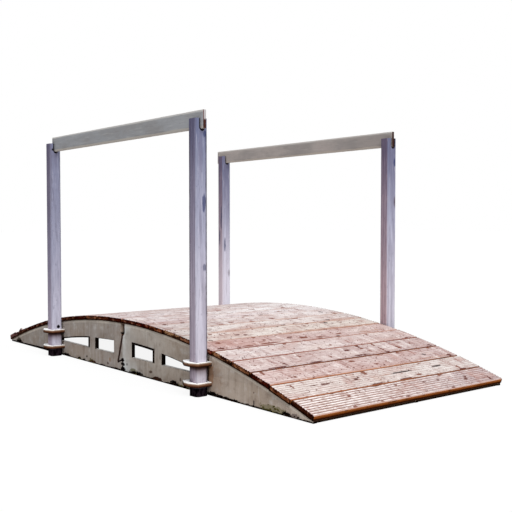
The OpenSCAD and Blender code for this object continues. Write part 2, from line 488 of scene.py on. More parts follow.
def larch_finish():
    wood = Finish("larch_decking", 0.8)
    lay = wood.attribute("board_place", "Vector")
    seed = wood.attribute("board_seed")
    tint = wood.attribute("board_tint", "Color")
    joint = wood.attribute("board_joint", "Color")
    ribs_seen = wood.attribute("board_ribs")
    mark = wood.attribute("board_mark", "Color")
    marked = wood.attribute("board_mark", "Alpha")
    end_tone = wood.attribute("board_end", "Color")
    across, along, up = lay.part()
    shift = wood.node("VectorMath", 0, {0: (7.3, 3.1, 1.7), "Scale": seed}, operation="SCALE")
    spot = wood.node("VectorMath", 0, {0: lay, 1: shift}, operation="ADD")
    fibre = spot.stretch(1.0, 0.07, 1.0).noise(210.0, 5.0, 0.65)
    rings = spot.stretch(1.0, 0.16, 1.0).bands(17.0, 7.0, 2.0)
    patch = spot.stretch(1.0, 0.35, 1.0).noise(11.0, 4.0, 0.6)
    flecks = spot.stretch(1.0, 0.22, 1.0).noise(95.0, 4.0, 0.7)

    wood.colour = wood.mix(patch.between(0.46, 0.68, 0.55), tint, (178, 138, 128))
    wood.stain(patch.between(0.46, 0.3, 0.55), (224, 212, 206))
    wood.stain(rings.between(0.55, 0.95, 0.3), (150, 100, 84))
    wood.stain(fibre.between(0.48, 0.72, 0.6), (128, 84, 72))
    wood.stain(fibre.between(0.46, 0.25, 0.45), (240, 232, 228))
    wood.stain(flecks.between(0.6, 0.68, 0.8), (112, 62, 52))

    bars = spot.stretch(0.24, 1.0, 1.0).noise(27.0, 3.0, 0.6)
    wood.stain(bars.between(0.57, 0.68, 0.6), (140, 92, 84))
    wood.stain(bars.between(0.43, 0.31, 0.48), (238, 230, 226))
    picks = spot.stretch(0.7, 1.0, 1.0).noise(72.0, 2.0, 0.5)
    wood.stain(picks.between(0.63, 0.69, 0.85), (100, 54, 46))

    knot_bed = spot.stretch(1.0, 0.62, 1.0)
    knot_far = knot_bed.cells(BOARD_KNOTS)
    few = knot_bed.cells(BOARD_KNOTS, "Color").part()[0].between(0.66, 0.68)
    wood.stain(knot_far.between(0.24, 0.08, 0.5) * few, (150, 96, 80))
    wood.stain(knot_far.between(0.1, 0.06, 0.9) * few, (70, 34, 28))

    # Crests: bleached wear with a painted highlight. Grooves: grime with painted shade.
    crest = up.between(BOARD_THICK - 0.0011, BOARD_THICK - 0.0001)
    groove = up.between(BOARD_THICK - 0.0012, BOARD_THICK - 0.0027)
    wear_and_highlight = spot.noise(34.0, 3.0).between(0.35, 0.62, 0.8, 0.1)
    wood.stain(crest * wear_and_highlight * ribs_seen, (250, 242, 240))
    grime_and_shade = spot.noise(21.0, 3.0).between(0.3, 0.65, 0.95, 0.45)
    wood.stain(groove * grime_and_shade * ribs_seen, (112, 56, 42))

    ragged = (spot.noise(70.0, 4.0, 0.7) - 0.5) * 1.6 + marked
    wood.stain(ragged.between(0.22, 0.6, 0.92), mark)
    wander = spot.noise(26.0, 4.0, 0.6) * 0.007 + abs(across)
    wood.stain(wander.between(0.069, 0.0738, 0.92), joint)

    # The board's sides run from near black at the bottom to orange-brown at the top: painted shade in the
    # gaps, with dark blots over it.
    plank = wood.ramp(up * 30.0, (0.0, (14, 5, 2)), (0.2, (48, 17, 6)),
                      (0.36, (126, 64, 24)), (0.62, (168, 102, 52)))
    blots = spot.stretch(1.0, 0.4, 1.0).noise(30.0, 3.0, 0.6)
    flank = wood.coats(plank, (fibre.between(0.42, 0.68, 0.5), (52, 19, 6)),
                       (blots.between(0.55, 0.66, 0.8), (28, 8, 3)))
    wood.stain(abs(across).between(0.0714, 0.0722), flank)

    butt = abs(along).between(BOARD_LONG / 2 - 0.0032, BOARD_LONG / 2 - 0.0012)
    blocky = spot.stretch(0.55, 1.0, 1.2).noise(48.0, 3.0, 0.6)
    grit = spot.noise(130.0, 2.0, 0.5)
    end_wood = wood.mix(blocky.between(0.46, 0.38, 0.5), end_tone, end_tone, "ADD")
    # The lower edge of the sawn end is near black: painted shadow under the boards.
    end_foot_shadow = (grit * 0.014 + up).between(0.017, 0.013, 0.9)
    lip = (blocky * 0.004 + up).between(0.0225, 0.025, 0.7)
    corner = (grit * 0.006 + abs(across)).between(0.069, 0.0722)
    end_wood = wood.coats(end_wood, (blocky.between(0.41, 0.35, 0.38), (184, 144, 114)),
                          (blocky.between(0.5, 0.57, 0.95), (38, 7, 3)),
                          (grit.between(0.56, 0.64, 0.6), (44, 11, 5)),
                          (end_foot_shadow, (16, 6, 3)), (lip, (54, 18, 12)), (corner, (14, 5, 3)))
    wood.stain(butt, end_wood)
    wood.stain(up.between(0.0016, 0.0004), wood.mix(fibre, (72, 46, 34), (120, 88, 68)))
    return wood.done(fibre * 0.6 + spot.noise(300.0, 2.0) * 0.4, 0.0012)


larch = larch_finish()
print("larch ready")

# %% [markdown]
# ## One ribbed board
# A deck board is a plank with eight rounded ribs planed along its top. The
# ribs could be left to a bump in the finish, but they show at the board ends
# and in the light that grazes the deck, so they are modelled. A box is cut
# into fine strips with subdivide. The strips' lines are then lowered in
# three steps, which draws the arc of every rib at once.

# %% Model the board
RIBS, STEPS = 8, 6
MARGIN, GROOVE = 0.002, 0.003
EDGE_DROP = GROOVE * 1.3
END_ROUND = 0.0012
LENGTH_CUTS = 151
HAIR = 0.0001

board = block("board_pattern", (BOARD_WIDE, BOARD_LONG, BOARD_THICK), (0.0, 0.0, BOARD_THICK / 2))
for axis, cuts in enumerate((RIBS * STEPS + 1, LENGTH_CUTS, 2)):
    cut_lengths(board, axis, cuts)

half_wide = BOARD_WIDE / 2
strip = BOARD_WIDE / (RIBS * STEPS + 2)
ribbed = half_wide - MARGIN
press_where(board, lambda v: abs(v.co.x) < half_wide - strip / 2,
            (ribbed / (half_wide - strip), 1.0, 1.0), (0.0, 0.0, 0.0))
rib_step = 2 * ribbed / (RIBS * STEPS)


def on_top_at(phases):
    """Top vertices whose line is one of the given steps of a rib."""
    def test(v):
        if v.co.z < BOARD_THICK - HAIR or abs(v.co.x) > half_wide - MARGIN / 2:
            return False
        return round((v.co.x + ribbed) / rib_step) % STEPS in phases
    return test


for phases, share in (((1, 5), 4 / 9), ((2, 4), 1 / 9), ((0,), 1.0)):
    move_where(board, on_top_at(phases), 0.0, 0.0, -GROOVE * share)
move_where(board, lambda v: v.co.z > BOARD_THICK - HAIR and abs(v.co.x) > half_wide - MARGIN / 2,
           0.0, 0.0, -EDGE_DROP)
choose_where(board, "EDGE", lambda e: all(abs(v.co.y) > BOARD_LONG / 2 - HAIR for v in e.verts)
             and all(v.co.z > BOARD_THICK - 0.005 for v in e.verts))
bpy.ops.mesh.bevel(offset=END_ROUND, segments=2, affect="EDGES")
choose_where(board, "FACE", lambda f: f.normal.z < -0.99)
bpy.ops.mesh.dissolve_limited(angle_limit=0.01)
only(board)
print("board pattern:", len(board.data.polygons), "faces")

# %% [markdown]
# ## Tints of the boards
# A board isn't one colour from end to end, and each joint and each sawn end
# has its own. They could be twenty-two materials. One material with values
# stored on each board is easier to change, so the values are listed by
# board: its half, then its number counted from the crown.

# %% Tints of the boards
BOARD_TINTS = {
    "a11": ((203, 187, 180), (178, 162, 162)), "a10": ((211, 199, 193), (210, 202, 198)),
    "a09": ((208, 186, 182), (192, 172, 170)), "a08": ((203, 184, 181), (192, 174, 172)),
    "a07": ((215, 204, 202), (201, 183, 180)), "a06": ((200, 177, 174), (199, 178, 174)),
    "a05": ((220, 211, 205), (210, 201, 193)), "a04": ((219, 211, 207), (214, 205, 202)),
    "a03": ((216, 207, 205), (222, 215, 214)), "a02": ((211, 198, 199), (227, 222, 222)),
    "a01": ((216, 207, 207), (234, 232, 232)), "b01": ((214, 204, 204), (224, 219, 219)),
    "b02": ((212, 201, 200), (216, 209, 208)), "b03": ((210, 198, 196), (210, 201, 199)),
}
OTHER_TINTS = [(208, 194, 192), (204, 188, 186), (210, 198, 197), (202, 182, 178), (206, 190, 184)]
# Colour along a board's edge towards the crown: at the near end, in the middle, at the far end.
JOINT_TONES = {
    "a11": ((158, 92, 58), (138, 82, 54), (84, 46, 38)),
    "a10": ((164, 100, 66), (186, 132, 102), (88, 46, 30)),
    "a09": ((76, 32, 30), (70, 28, 28), (84, 38, 36)),
    "a08": ((146, 96, 90), (154, 110, 104), (112, 62, 58)),
    "a07": ((96, 48, 40), (140, 92, 82), (184, 148, 138)),
    "a06": ((190, 158, 148), (184, 146, 132), (166, 122, 102)),
    "a05": ((182, 146, 132), (178, 142, 126), (172, 130, 110)),
    "a04": ((188, 156, 144), (188, 152, 136), (184, 150, 134)),
}
PLAIN_JOINT = ((190, 160, 150),) * 3
JOINT_LONG = 1.3
# How strongly the crests' wear and painted highlight and the grooves' grime and painted shade show, at the
# near end and at the far end.
RIBS_SEEN = {"a11": (1.15, 0.35), "a10": (0.50, 0.16)}
RIBS_MOSTLY = (0.18, 0.18)
END_TONES = {
    "a01": (80, 36, 24), "a02": (82, 18, 7), "a03": (124, 66, 38), "a04": (162, 120, 86),
    "a05": (116, 70, 46), "a06": (104, 40, 26), "a07": (150, 104, 72), "a08": (132, 84, 54),
    "a09": (72, 20, 8), "a10": (110, 60, 34), "a11": (58, 26, 13), "b01": (66, 20, 10), "b02": (86, 40, 22),
    "b03": (112, 66, 44), "b04": (60, 15, 6), "b05": (98, 58, 42), "b06": (76, 32, 20), "b07": (50, 9, 3),
    "b08": (62, 16, 8), "b09": (50, 9, 4), "b10": (84, 50, 38), "b11": (108, 74, 70),
}
print("boards with a tint of their own:", len(BOARD_TINTS))

# %% [markdown]
# ## Marks on the boards
# Knots, scuffs, splits and bleached patches lie where wear and weather put
# them. Noise could scatter them, but a board is known by its marks, so each
# is an oval with its own place. Soft tones fade into the wood around them,
# and the others have a rim that a fine noise makes ragged.

# %% Marks on the boards
BROWN, RUST, UMBER, SPLIT, BLUSH = (124, 76, 62), (164, 112, 84), (92, 46, 38), (62, 52, 52), (184, 140, 130)
BLEACHED = (240, 233, 230)
SOFT_TONES = (RUST, BLUSH, BLEACHED)
# How far out, in half sizes of a mark, a soft and a hard one reach.
SOFT_REACH, HARD_REACH = 1.6, 1.3
SOFT_MOST = 0.55
UNMARKED = (0.2, 0.1, 0.08)
# Marks in millimetres from the board's middle: across, along, their half sizes and the colour.
BOARD_MARKS = {
    "a11": [(-47, -585, 14, 7, BROWN), (1, -615, 6, 6, UMBER), (-24, -370, 9, 14, BROWN),
            (-64, -445, 6, 14, UMBER), (-66, -150, 7, 42, UMBER), (-45, -35, 10, 14, BROWN),
            (-30, 30, 12, 16, BLUSH), (-60, 80, 10, 52, RUST), (-27, 160, 8, 11, UMBER),
            (-22, 262, 9, 13, UMBER), (-62, 320, 8, 16, BROWN), (-10, 463, 15, 11, UMBER),
            (12, 450, 15, 11, UMBER), (45, 610, 34, 10, UMBER), (30, 75, 36, 10, BLUSH),
            (42, 180, 26, 8, BLUSH), (64, -420, 8, 14, BROWN), (64, -240, 8, 12, BROWN),
            (64, -60, 8, 16, UMBER), (64, 280, 8, 14, UMBER), (0, 350, 44, 10, BLUSH),
            (5, 530, 40, 12, BLUSH)],
    "a10": [(-30, -587, 20, 9, BROWN), (-12, -475, 6, 28, UMBER), (-8, -400, 6, 38, UMBER),
            (10, -265, 36, 11, BLUSH), (-55, -190, 22, 12, RUST), (-20, -170, 6, 12, UMBER),
            (-52, -95, 24, 18, BROWN), (5, -82, 20, 8, RUST), (45, -68, 28, 9, RUST),
            (10, -53, 16, 7, RUST), (-2, 10, 5, 36, RUST), (-2, 130, 6, 82, SPLIT), (-5, 410, 6, 42, SPLIT),
            (38, 535, 24, 11, BROWN), (66, 542, 8, 34, UMBER), (48, 205, 6, 26, BROWN),
            (-30, 640, 15, 30, BLUSH), (-50, 320, 6, 26, BROWN), (66, -120, 7, 50, UMBER),
            (66, 90, 7, 60, UMBER)],
    "a09": [(-50, -630, 24, 12, BROWN), (28, -610, 17, 6, BROWN), (30, -495, 17, 6, BROWN),
            (-45, -300, 18, 14, BLUSH), (-30, -240, 10, 14, BROWN), (-50, -130, 20, 11, BLUSH),
            (-35, -50, 12, 26, BROWN), (15, -130, 6, 13, BROWN), (25, 70, 7, 20, BROWN),
            (15, 150, 20, 8, BROWN), (-55, 325, 14, 12, BROWN), (-30, 420, 16, 18, BLUSH),
            (5, 470, 10, 16, SPLIT), (55, 630, 15, 19, UMBER), (52, 500, 10, 120, RUST),
            (-63, 580, 8, 14, BROWN), (60, -480, 7, 160, RUST), (-20, 250, 40, 12, BLUSH)],
    "a08": [(35, -435, 20, 9, UMBER), (-66, -345, 8, 14, BROWN), (-30, -288, 14, 14, BROWN),
            (5, -600, 8, 11, BROWN), (25, -115, 16, 9, BROWN), (-22, 50, 14, 22, UMBER),
            (-58, 160, 28, 13, UMBER), (-22, 163, 14, 14, BROWN), (22, 180, 11, 16, BROWN),
            (-48, 275, 30, 9, BROWN), (18, 278, 30, 9, BROWN), (60, 278, 12, 18, UMBER),
            (25, 405, 36, 11, BROWN), (-30, 460, 8, 14, BROWN), (0, 540, 12, 10, BROWN),
            (58, 80, 9, 78, UMBER), (62, -250, 8, 44, UMBER), (62, -500, 8, 70, UMBER),
            (56, 640, 14, 20, UMBER), (0, 325, 36, 15, BLEACHED), (0, 372, 32, 13, BLEACHED),
            (12, 443, 32, 14, BLEACHED), (5, 500, 30, 14, BLEACHED), (10, 222, 30, 16, BLEACHED)],
    "a07": [(58, -85, 14, 14, BROWN), (66, 600, 13, 16, UMBER), (-62, -230, 12, 12, BROWN),
            (-30, 230, 12, 16, BLUSH), (-40, -490, 12, 26, BLUSH), (30, 20, 9, 12, BROWN),
            (60, 300, 8, 120, BLUSH), (-10, -330, 34, 14, BLEACHED), (0, -150, 40, 18, BLEACHED),
            (10, 90, 30, 14, BLEACHED), (-50, 390, 10, 18, BROWN)],
    "a06": [(48, -615, 16, 24, UMBER), (58, -510, 11, 16, UMBER), (55, -440, 9, 46, BROWN),
            (50, -290, 9, 66, BROWN), (-35, -570, 17, 18, BROWN), (-28, -555, 44, 70, BLUSH),
            (-63, -320, 12, 16, BROWN), (-5, -290, 13, 13, BROWN), (-3, -112, 11, 20, UMBER),
            (25, -35, 18, 34, BROWN), (20, -38, 11, 18, UMBER), (40, 80, 10, 44, BROWN),
            (30, 230, 14, 22, BROWN), (66, 190, 8, 18, SPLIT), (46, 430, 18, 38, RUST),
            (35, 530, 11, 24, RUST), (-10, -440, 60, 120, BLUSH), (-62, 130, 9, 200, RUST),
            (-60, 500, 11, 130, RUST)],
    "a05": [(10, -370, 13, 18, UMBER), (25, -325, 11, 18, UMBER), (-45, -510, 14, 16, BROWN),
            (57, -580, 9, 16, UMBER), (-66, -25, 10, 20, SPLIT), (20, -15, 17, 18, BLUSH),
            (-64, 205, 14, 16, BROWN), (-45, 340, 20, 13, SPLIT), (-30, 440, 12, 16, BROWN),
            (0, 610, 22, 24, BLUSH), (62, 150, 11, 230, RUST), (-60, -350, 9, 120, BLUSH)],
    "a04": [(48, 415, 16, 16, SPLIT), (50, 530, 13, 120, RUST), (60, -290, 9, 180, RUST),
            (50, 150, 12, 20, BROWN), (-62, 240, 12, 30, BROWN), (0, -60, 20, 14, BLUSH),
            (64, 40, 9, 20, SPLIT)],
    "a03": [(-55, -595, 20, 16, UMBER), (-64, -475, 20, 16, UMBER), (60, -290, 11, 18, BROWN),
            (40, -210, 20, 16, BROWN), (58, -70, 15, 18, BROWN), (40, 100, 16, 22, BROWN),
            (-20, 560, 24, 12, SPLIT), (55, 610, 18, 20, BROWN), (-58, -535, 16, 120, BLUSH)],
    "a02": [(64, 120, 12, 18, SPLIT), (30, -560, 16, 100, BLUSH), (-10, 330, 16, 22, BROWN)],
    "a01": [(-20, 240, 12, 24, BROWN), (30, -300, 12, 40, BLUSH), (10, 480, 20, 16, BROWN)],
    "b01": [(10, -540, 30, 10, BROWN), (0, 100, 10, 60, BLUSH)],
}
print("marks on the boards:", sum(len(marks) for marks in BOARD_MARKS.values()))

# %% [markdown]
# ## What each board carries
# The finish needs to know where a point lies on the flat board. Once the
# board is laid on its slope that is lost, so it is stored on the mesh first,
# with the board's tints and the marks that reach the point.

# %% Store tints and marks on a board
def between_stops(stops, share):
    """The value at a share, 0 to 1, of the way through equally spaced stops."""
    place = min(max(share, 0.0), 1.0) * (len(stops) - 1)
    step = min(int(place), len(stops) - 2)
    return [a + (b - a) * (place - step) for a, b in zip(stops[step], stops[step + 1])]


def mark_at(v, marks, tint):
    """The tint at a vertex with the soft marks in it, then the hard mark's colour and strength."""
    best, shade = 0.0, UNMARKED
    for across, along, half_across, half_along, tone, soft in marks:
        far = math.hypot((v.co.x - across) / half_across, (v.co.y - along) / half_along)
        if soft and far < SOFT_REACH:
            share = SOFT_MOST * (1 - (far / SOFT_REACH) ** 2)
            tint = [a + (b - a) * share for a, b in zip(tint, (*tone, 1.0))]
        elif not soft and HARD_REACH - far > best:
            best, shade = HARD_REACH - far, tone
    return tint, (*shade, min(best, 1.0))


def carry_place(piece, seed, key):
    """Store on the mesh where each point lies on the flat board, its tints and its marks."""
    mesh = piece.data
    count = len(mesh.vertices)

    def keep(name, kind, slot, values):
        mesh.attributes.new(name, kind, "POINT").data.foreach_set(slot, values)

    number = int(key[1:])
    outward = f"{key[0]}{number + 1:02d}"
    plain_tint = OTHER_TINTS[(number + (key[0] == "b") * 2) % len(OTHER_TINTS)]
    tint_stops = [rgb(*tone) for tone in BOARD_TINTS.get(key, (plain_tint, plain_tint))]
    inner_stops, outer_stops = ([rgb(*tone) for tone in JOINT_TONES.get(name, PLAIN_JOINT)]
                                for name in (key, outward))
    rib_stops = [(value,) for value in RIBS_SEEN.get(key, RIBS_MOSTLY)]
    marks = [(*(value / 1000 for value in mark[:4]), rgb(*mark[4])[:3], mark[4] in SOFT_TONES)
             for mark in BOARD_MARKS.get(key, ())]
    tints, joints, ribs, shades = [], [], [], []
    for v in mesh.vertices:
        tint, shade = mark_at(v, marks, between_stops(tint_stops, v.co.y + 0.5))
        tints.extend(tint)
        shades.extend(shade)
        joints.extend(between_stops(inner_stops if v.co.x < 0 else outer_stops, v.co.y / JOINT_LONG + 0.5))
        ribs.extend(between_stops(rib_stops, v.co.y + 0.5))
    keep("board_place", "FLOAT_VECTOR", "vector", [value for v in mesh.vertices for value in v.co])
    keep("board_seed", "FLOAT", "value", [seed] * count)
    keep("board_end", "FLOAT_COLOR", "color", list(rgb(*END_TONES[key])) * count)
    keep("board_tint", "FLOAT_COLOR", "color", tints)
    keep("board_joint", "FLOAT_COLOR", "color", joints)
    keep("board_ribs", "FLOAT", "value", ribs)
    keep("board_mark", "FLOAT_COLOR", "color", shades)


print("each board carries its place, seed, tints, ribs and marks")

# %% [markdown]
# ## The deck
# Each of the twenty-two boards is a copy of the pattern with its own tint,
# its own ends and a little wear, laid on the slope of its CAD board. The
# slope is read from the CAD board's two lower corners. Boards differ by a
# millimetre or two in width, which opens some joints and closes others.

# %% Lay the deck
SPREADS = {"a11": 1.022, "a10": 1.020, "a09": 1.004, "a08": 0.998}
END_ZONE = 0.02
HALF_B_SEED = 0.37
LIFTED_END, LIFT_ANGLE = -0.56, 3.6
CUPPING, FUZZ = 0.0022, 0.0011


def slope_of(node):
    """Middle of a CAD board's underside, and how far it is turned about Y."""
    side = 1.0 if "_a" in node else -1.0
    corners = [v.co for v in nodes[node].data.vertices]
    foot = min(corners, key=lambda c: c.z)
    heel = min(corners, key=lambda c: c.x * side)
    turn = math.atan2(heel.z - foot.z, abs(foot.x - heel.x)) * side
    return Vector(((foot.x + heel.x) / 2, 0.0, (foot.z + heel.z) / 2)), turn


def lay(piece, node, spread=1.0, skew=0.0):
    """Set a piece made on the flat board down on its CAD board's slope."""
    place, turn = slope_of(node)
    piece.scale = (spread, 1.0, 1.0)
    piece.rotation_euler = (0.0, turn, skew)
    piece.location = place
    settle(piece)


random.seed(41)
for number in range(1, 12):
    for half in "ab":
        key = f"{half}{number:02d}"
        piece = twin(board, "deck_" + key)
        carry_place(piece, number + (HALF_B_SEED if half == "b" else 0.0), key)
        spread = SPREADS.get(key, 1.0 + random.uniform(0.014, 0.028))
        for end in (-1, 1):
            move_where(piece, lambda v: v.co.y * end > BOARD_LONG / 2 - END_ZONE,
                       random.uniform(-0.0006, 0.0006), random.uniform(-0.004, 0.003) * end, 0.0)
        if key == "b11":
            # Its near end has come loose and curls up.
            choose_where(piece, "VERT", lambda v: v.co.y < LIFTED_END and v.co.x < 0.026 and v.co.z > 0.012)
            bpy.ops.transform.rotate(value=math.radians(LIFT_ANGLE), orient_axis="X",
                                     center_override=(0.0, LIFTED_END, BOARD_THICK / 2))
        lay(piece, "board_" + key, spread, random.uniform(-0.0008, 0.0008))
        roughen(piece, wear_broad, CUPPING, 0.2, way="Z")
        roughen(piece, wear_fine, FUZZ)
        finish_piece(piece, larch, "larch_decking", "board_" + key, angle=32)
bpy.data.objects.remove(board)
print("deck boards laid:", len(END_TONES))

# %% [markdown]
# ## Torn grain
# A board wears at its sawn end. Near the low end of half b one long splinter
# has torn up from the grain and stands clear of the deck. It could be left
# out as too small, but it breaks the clean edge of the arch. It is a block
# whose top is drawn down to a thin wedge on three sides, then roughened.

# %% Model the splinter
splinter = block("torn_grain_b10", (0.044, 0.030, 0.018), (-0.042, -0.669, 0.034))
move_where(splinter, lambda v: v.co.z > 0.03 and v.co.x < -0.05, 0.0, 0.0, -0.014)
press_where(splinter, lambda v: v.co.z > 0.027 and v.co.y > -0.66, (0.4, 1.0, 0.15), (-0.024, -0.655, 0.026))
choose_where(splinter, "EDGE", lambda e: True)
bpy.ops.mesh.subdivide(number_cuts=5)
only(splinter)
carry_place(splinter, 3.7, "b10")
lay(splinter, "board_b10")
roughen(splinter, wear_fine, FUZZ * 2)
finish_piece(splinter, larch, "larch_decking")
print("splinter:", len(splinter.data.polygons), "faces")

# %% [markdown]
# ## Film-faced plywood for the panels
# The panels are cut from plywood with a resin film on both faces. Years
# outside have turned the film a blotchy grey-beige with faint upright
# streaks. Its cut edges show the veneers, and they have gone dark brown. The
# foot of a panel stands in wet soil, so dirt and algae creep up from it.

# %% Stains and painted shade on the panels
ARCH_RADIUS = 4.9776
ARCH_CENTRE = (0.0, 0.0, 0.281 - ARCH_RADIUS)
HALF_FRAME = 0.677
HOLE_COVER, SILL = 0.110, 0.094
STAIN_DEEP = 0.03
# The joint's slanted edge leans by its slope below its height, and the seat rises by its own.
SLANT_HIGH, SLANT_SLOPE, SLANT_OUT = 0.209, 0.3243, 0.0035
SEAT_HIGH, SEAT_SLOPE = 0.070, 0.375
NEAR_BLACK, BARK, OCHRE, MOSS = (12, 6, 4), (66, 42, 32), (134, 92, 58), (98, 92, 48)
# Start and end of each hand hole, then how far the painted shade round it
# reaches over the face on the -X side, on the +X side and along the top.
HAND_HOLES = [(-0.800, -0.426, 0.000, 0.022, 0.008), (-0.326, -0.104, 0.010, 0.001, 0.003),
              (0.104, 0.326, 0.002, 0.020, 0.013), (0.426, 0.800, 0.009, 0.001, 0.004)]
# Marks on the near panels in millimetres: X, height, half length, half
# height, then colour and strength.
FOOT_MARKS = [
    (-1487, 20, 44, 22, (72, 64, 50), 0.9), (-1482, 8, 56, 22, NEAR_BLACK, 1.0), (-725, 5, 55, 16, NEAR_BLACK, 1.0),
    (-775, 118, 14, 60, (58, 32, 26), 0.85), (-545, 4, 26, 16, NEAR_BLACK, 1.0), (-480, 4, 20, 13, NEAR_BLACK, 1.0),
    (-445, 34, 10, 9, NEAR_BLACK, 1.0), (-370, 6, 52, 18, BARK, 1.0), (-360, 0, 40, 9, NEAR_BLACK, 1.0),
    (-177, 25, 12, 9, BARK, 0.8), (-154, 49, 13, 15, OCHRE, 0.5), (-150, -2, 120, 7, NEAR_BLACK, 1.0),
    (47, 47, 9, 8, BARK, 0.7), (122, 20, 44, 14, MOSS, 0.7), (150, 0, 100, 23, NEAR_BLACK, 1.0),
    (308, 41, 19, 9, BARK, 0.8), (370, 10, 50, 15, BARK, 1.0), (545, 6, 44, 24, NEAR_BLACK, 1.0),
    (601, 41, 10, 10, BARK, 0.7), (630, 2, 66, 11, NEAR_BLACK, 1.0), (857, 146, 22, 15, (98, 62, 34), 0.9),
    (864, 105, 34, 70, OCHRE, 0.6), (900, 85, 70, 90, OCHRE, 0.22), (890, 6, 52, 19, NEAR_BLACK, 1.0),
    (956, 4, 36, 14, NEAR_BLACK, 1.0), (1010, 3, 26, 14, NEAR_BLACK, 1.0), (1072, 2, 26, 13, NEAR_BLACK, 1.0),
    (1360, 14, 110, 20, MOSS, 0.6), (1360, -1, 120, 9, NEAR_BLACK, 1.0), (1214, 20, 4, 19, NEAR_BLACK, 1.0),
    # The mark at X 849 is painted shadow between the near post of half a and the panel.
    (1214, 70, 6, 6, BARK, 0.7), (404, 135, 12, 20, BARK, 0.3), (849, 125, 8, 75, (52, 30, 22), 1.0),
    (1500, 10, 26, 14, (98, 84, 80), 0.8), (1445, 6, 40, 17, NEAR_BLACK, 1.0), (-2, 66, 22, 12, NEAR_BLACK, 1.0),
    (3, 44, 24, 12, NEAR_BLACK, 1.0), (4, 12, 33, 20, NEAR_BLACK, 1.0),
]


def veneer_edge(wood, spot):
    """Dark cut edge of plywood, striped by its veneers through the sheet."""
    stripes = spot.bands(110.0, 0.6, 1.0, "Y")
    blotch = spot.noise(38.0, 4.0, 0.65)
    edge = wood.mix(stripes.between(0.25, 0.75), (62, 34, 22), (112, 76, 52))
    return wood.mix(blotch.between(0.46, 0.66, 0.8), edge, (30, 14, 10))


def hole_rim_shade(along, up, radius, wobble):
    """1 on the face close round the hand holes, where painted shade darkens it."""
    nearest = None
    for start, end, left, right, top in HAND_HOLES:
        far = (start - left - along).or_more(along - (end + right))
        far = far.or_more(radius - (ARCH_RADIUS - HOLE_COVER + top))
        far = far.or_more(SILL - 0.001 - up)
        nearest = far if nearest is None else nearest.or_less(far)
    return (nearest + wobble).between(0.0008, -0.0008)


def joint_shade(along, up, wobble):
    """1 close to the open joint, where shade is painted: first its slanted edge, then the seat under the hook
    and the foot.
    """
    slant = abs((SLANT_HIGH - up) * SLANT_SLOPE + along + SLANT_OUT)
    slant = (slant + wobble).between(0.0115, 0.0095) * ((up > 0.05) * (up < 0.215))
    seat = abs(along * SEAT_SLOPE + SEAT_HIGH - up)
    seat = (seat + wobble).between(0.006, 0.004) * ((along > -0.059) * (along < 0.01))
    foot = abs(along).between(0.006, 0.005) * up.between(0.074, 0.068)
    return slant, seat.or_more(foot)


print("stains on the panels:", len(FOOT_MARKS))

# %% [markdown]
# ## The film itself
# Under the stains the film is palest on half a, next to the crown joint, so
# a ramp along the bridge sets its first colour. Cloudy and mottled noise
# make the blotches, and noise drawn out upright makes the streaks. A band
# along the top edge is painted lighter, a painted highlight, and a thin
# painted shadow of the deck runs along the edge itself. Faces that don't
# look along Y are cut edges, and they take the veneers instead: near black
# with painted shade where they look along X, and lighter with painted light
# on the hand holes' sills and in the crown notch.

